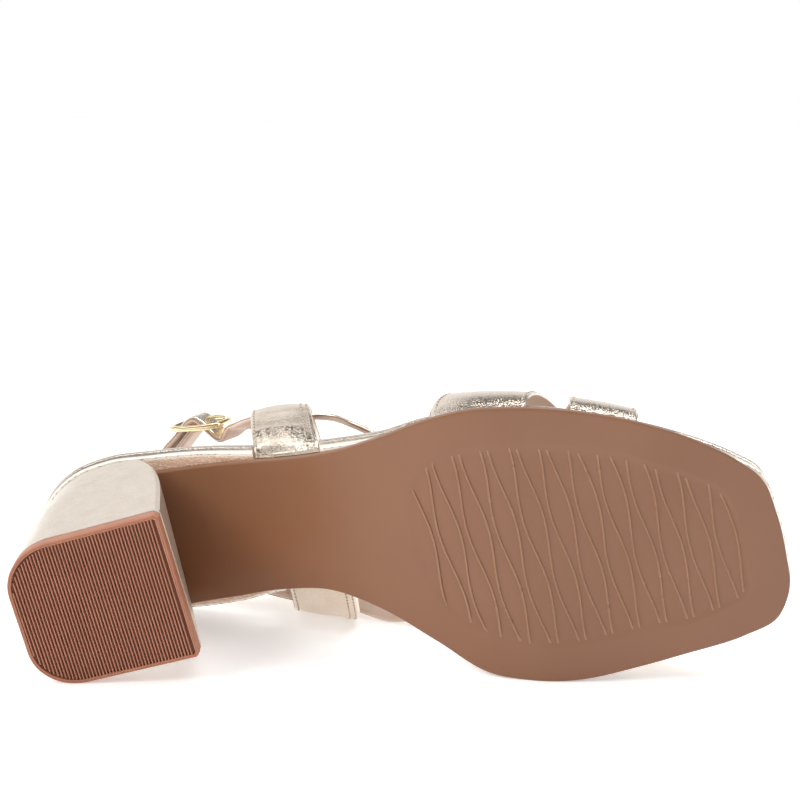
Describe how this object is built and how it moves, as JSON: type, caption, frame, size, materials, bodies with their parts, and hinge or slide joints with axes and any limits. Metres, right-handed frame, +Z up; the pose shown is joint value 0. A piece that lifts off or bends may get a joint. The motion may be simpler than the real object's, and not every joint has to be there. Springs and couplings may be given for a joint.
{
  "type": "slingback sandal",
  "caption": "Right slingback sandal with a square toe, wide crossing toe straps, folded side tabs, a thin buckled strap round the heel and a covered block heel, lying on its side.",
  "frame": {"origin": "centre of the shoe's box, on the floor that it lies on", "axes": "+Z up from the floor, +X along the shoe from heel to toe, +Y away from the sole, towards the wearer's leg"},
  "size_m": [0.2414, 0.1166, 0.0868],
  "materials": {
    "sole_rubber": "satin brown",
    "lift_rubber": "matt reddish brown, ribbed",
    "gold_leather": "pale gold foil, fine grain",
    "heel_leather": "pale cream gold, smooth",
    "gilt_metal": "polished gilt"
  },
  "bodies": {
    "root": {"outsole": "sole_rubber", "insole_board": "gold_leather", "footbed": "gold_leather", "heel_block": "heel_leather", "top_lift": "lift_rubber", "vamp_straps": "gold_leather", "side_tab_lateral": "gold_leather", "side_tab_medial": "gold_leather", "sling_strap": "gold_leather", "buckle_frame": "gilt_metal", "buckle_prong": "gilt_metal"}
  },
  "joints": []
}
